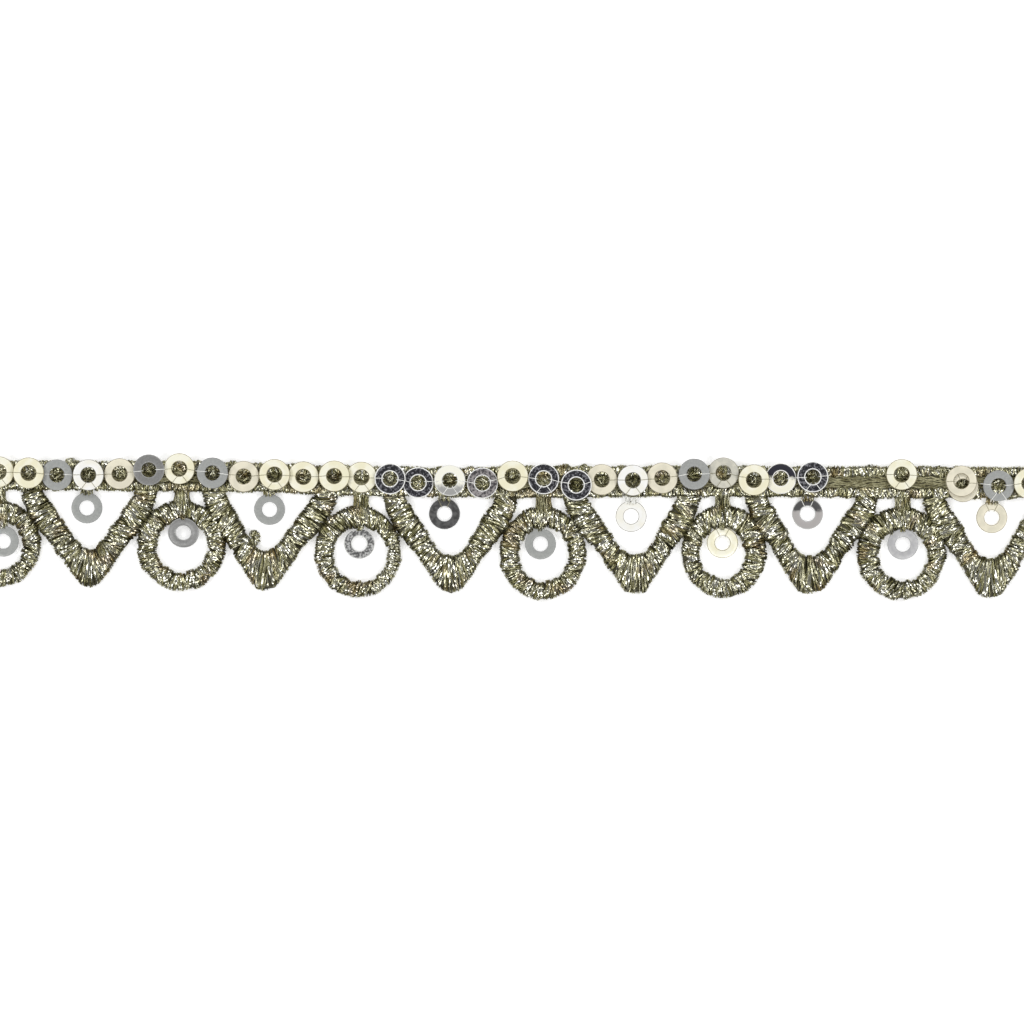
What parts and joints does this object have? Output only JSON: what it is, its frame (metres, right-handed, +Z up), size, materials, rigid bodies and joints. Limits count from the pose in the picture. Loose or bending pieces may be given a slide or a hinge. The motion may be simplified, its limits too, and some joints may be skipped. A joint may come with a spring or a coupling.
{
  "type": "sequin trim",
  "caption": "Flat length of metallic embroidered edging, with a header band, V points and open rings, and flat ring sequins sewn along the header and hung in each opening.",
  "frame": {"origin": "on the flat back of the header band, on its middle line, at half the length", "axes": "+X along the trim, +Y from the points towards the header, +Z up out of the face"},
  "size_m": [0.144, 0.019, 0.002],
  "materials": {
    "metallic_thread": "satin-stitched flat metallic thread, olive gold, with bright glints",
    "champagne_foil": "metallised film, pale champagne, mirror bright",
    "silver_foil": "metallised film, silver grey, bright",
    "dark_foil": "metallised film that reflects dark, with a pale cut edge"
  },
  "bodies": {
    "root": {"lace": "metallic_thread", "sequin_01": "champagne_foil", "sequin_02": "champagne_foil", "sequin_03": "champagne_foil", "sequin_04": "silver_foil", "sequin_05": "champagne_foil", "sequin_06": "champagne_foil", "sequin_07": "silver_foil", "sequin_08": "champagne_foil", "sequin_09": "silver_foil", "sequin_10": "champagne_foil", "sequin_11": "champagne_foil", "sequin_12": "champagne_foil", "sequin_13": "champagne_foil", "sequin_14": "champagne_foil", "sequin_15": "dark_foil", "sequin_16": "dark_foil", "sequin_17": "champagne_foil", "sequin_18": "dark_foil", "sequin_19": "champagne_foil", "sequin_20": "dark_foil", "sequin_21": "dark_foil", "sequin_22": "champagne_foil", "sequin_23": "champagne_foil", "sequin_24": "champagne_foil", "sequin_25": "silver_foil", "sequin_26": "champagne_foil", "sequin_27": "champagne_foil", "sequin_28": "champagne_foil", "sequin_29": "dark_foil", "sequin_30": "champagne_foil", "sequin_31": "champagne_foil", "sequin_32": "champagne_foil", "sequin_33": "silver_foil", "sequin_34": "champagne_foil", "point_drop_1": "silver_foil", "point_drop_2": "silver_foil", "point_drop_3": "dark_foil", "point_drop_4": "champagne_foil", "point_drop_5": "silver_foil", "point_drop_6": "champagne_foil", "ring_drop_1": "silver_foil", "ring_drop_2": "silver_foil", "ring_drop_3": "silver_foil", "ring_drop_4": "silver_foil", "ring_drop_5": "champagne_foil", "ring_drop_6": "silver_foil"}
  },
  "joints": []
}
